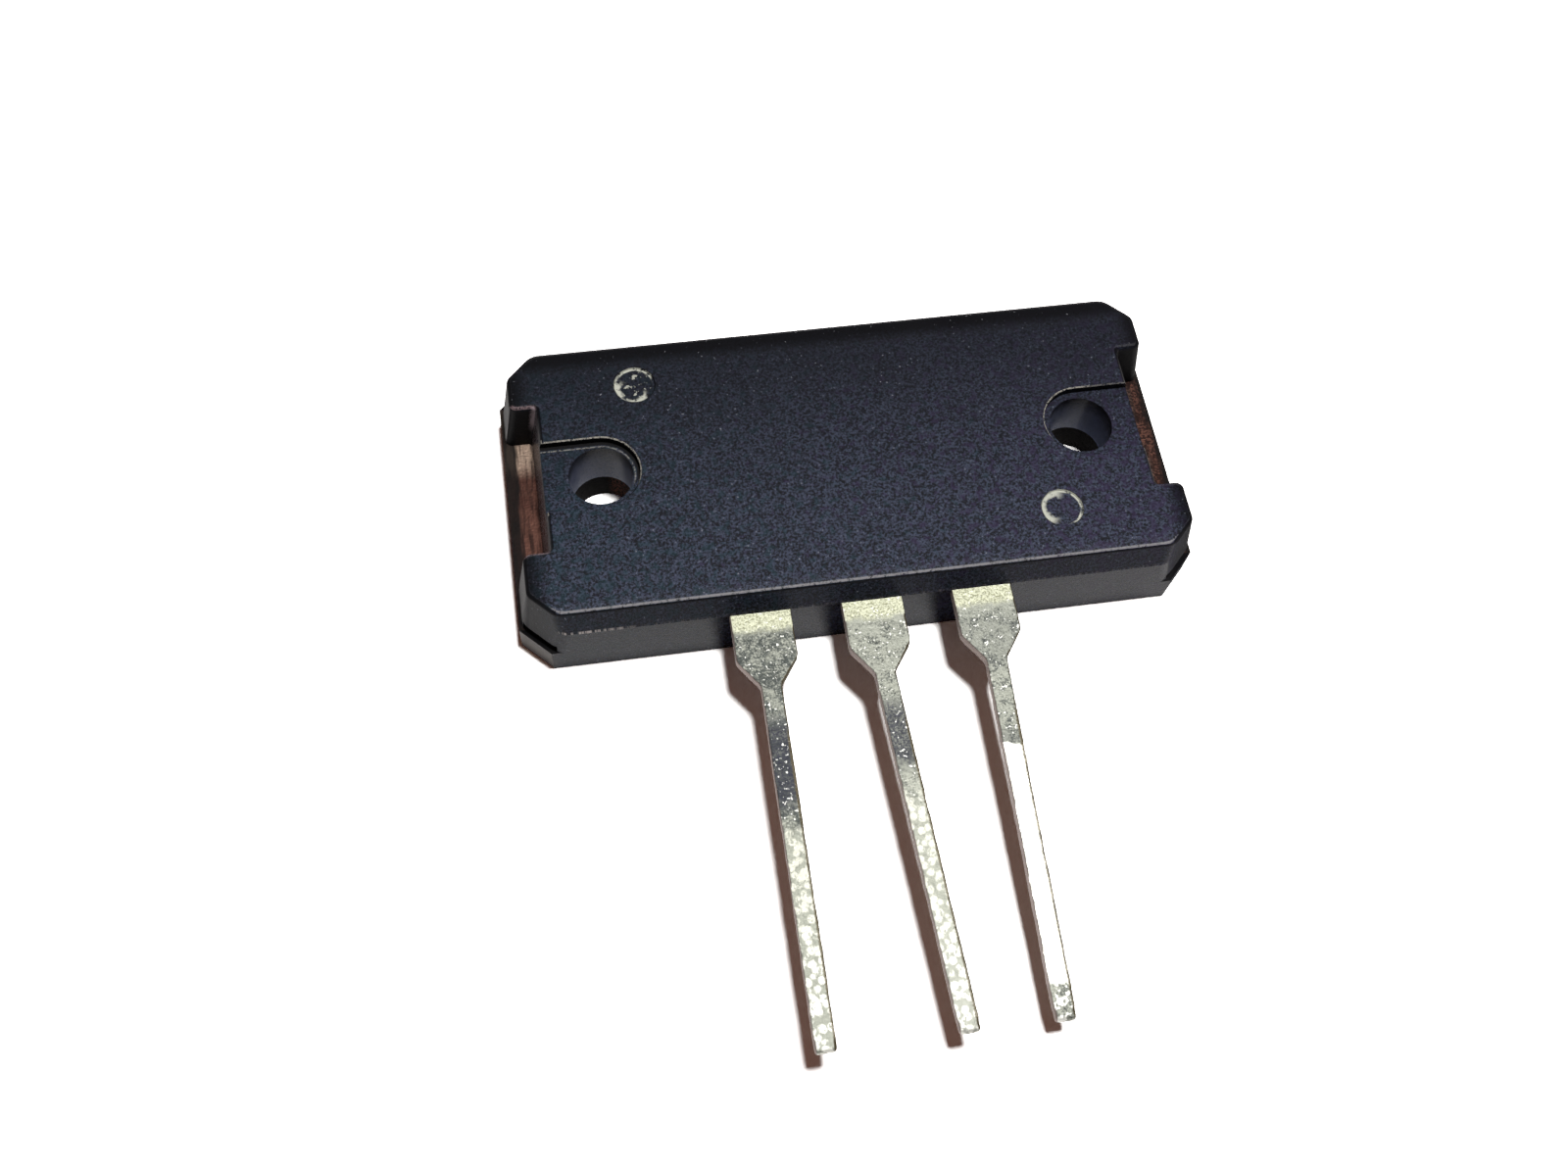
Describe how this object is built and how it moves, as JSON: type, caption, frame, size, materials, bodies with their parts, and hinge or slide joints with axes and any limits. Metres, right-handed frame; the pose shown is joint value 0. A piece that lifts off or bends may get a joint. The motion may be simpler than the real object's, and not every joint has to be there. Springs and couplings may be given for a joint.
{
  "type": "power transistor",
  "caption": "Flat power transistor: black moulded body on a copper back plate, a screw hole near each end, and flat tinned leads along one long side.",
  "frame": {"origin": "middle of the back face that rests on the heat sink", "axes": "+X along the body from hole to hole, -Y the way the leads point, +Z from the back face to the moulded face"},
  "size_m": [0.034, 0.0364, 0.0049],
  "materials": {
    "moulding": "fine-grained matte epoxy",
    "copper": "dull copper",
    "tinned_lead": "dipped tin",
    "silicon": "polished grey",
    "solder": "dull solder",
    "bond_wire": "drawn wire"
  },
  "bodies": {
    "root": {"moulded_body": "moulding", "base_plate": "copper", "base_lead": "tinned_lead", "collector_lead": "tinned_lead", "emitter_lead": "tinned_lead", "silicon_die": "silicon", "die_solder": "solder", "collector_solder": "solder", "base_bond_wire": "bond_wire", "emitter_bond_wire": "bond_wire"}
  },
  "joints": []
}
